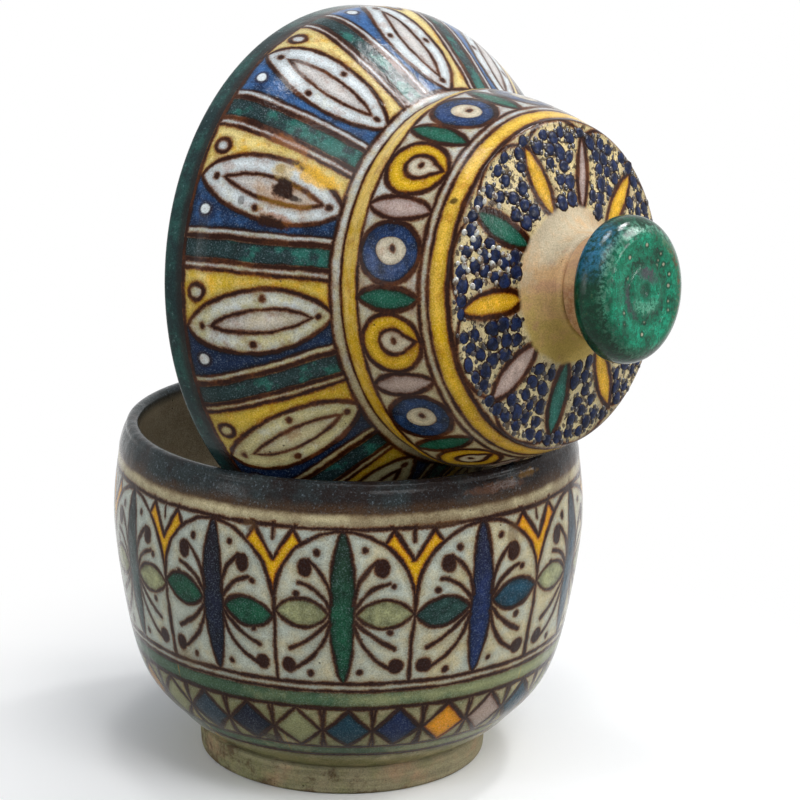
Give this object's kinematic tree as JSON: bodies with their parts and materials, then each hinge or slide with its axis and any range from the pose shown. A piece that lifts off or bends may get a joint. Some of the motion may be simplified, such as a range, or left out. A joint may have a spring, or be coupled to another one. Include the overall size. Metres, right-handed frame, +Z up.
{
  "type": "covered bowl",
  "caption": "Thrown earthenware bowl on a bare clay foot, with a domed lid and knob leaning in its mouth, painted and glazed in bands of traditional ornament.",
  "frame": {"origin": "middle of the ground plan of bowl and leaning lid, on the surface the foot stands on", "axes": "+Z up along the bowl's own axis; +X to the viewer's right and +Y away from the viewer in the picture; the lid leans towards +X and -Y"},
  "size_m": [0.2304, 0.2226, 0.3217],
  "materials": {
    "bowl_glaze": "glossy tin glaze painted in brown, green, blue and yellow, dark brown at the lip",
    "bare_clay": "unglazed buff clay with brown and pink stains",
    "lid_glaze": "glossy tin glaze painted in blue, green, yellow and cream, bare clay at the stem",
    "knob_glaze": "glossy emerald glaze, worn paler at its edges"
  },
  "bodies": {
    "bowl": {"bowl_wall": "bowl_glaze", "foot_ring": "bare_clay"},
    "lid": {"lid_shell": "lid_glaze", "lid_knob": "knob_glaze"}
  },
  "joints": [
    {"name": "lid_lift", "type": "slide", "parent": "bowl", "child": "lid", "axis": [0, 0, 1], "range_m": [0, 0.12]}
  ]
}
